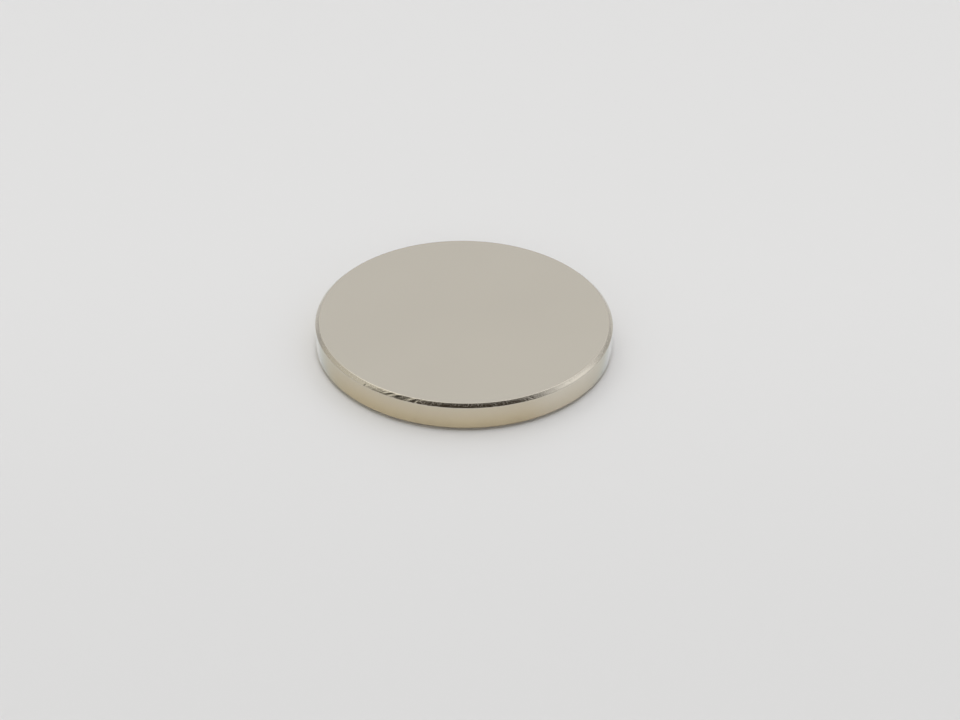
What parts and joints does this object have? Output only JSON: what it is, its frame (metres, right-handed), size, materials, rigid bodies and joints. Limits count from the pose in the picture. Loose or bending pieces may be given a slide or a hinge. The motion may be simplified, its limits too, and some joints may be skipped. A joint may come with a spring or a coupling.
{
  "type": "disc magnet",
  "caption": "Flat round permanent magnet in bright nickel plating, with plain ground faces and a small bevel round each edge.",
  "frame": {"origin": "centre of the lower face, which the disc rests on", "axes": "+Z along the disc's axis, out of the upper face, with X and Y in the plane of the disc"},
  "size_m": [0.05, 0.05, 0.005],
  "materials": {
    "nickel_plating": "bright nickel plate over a ground and tumbled surface"
  },
  "bodies": {
    "root": {"disc_magnet": "nickel_plating"}
  },
  "joints": []
}
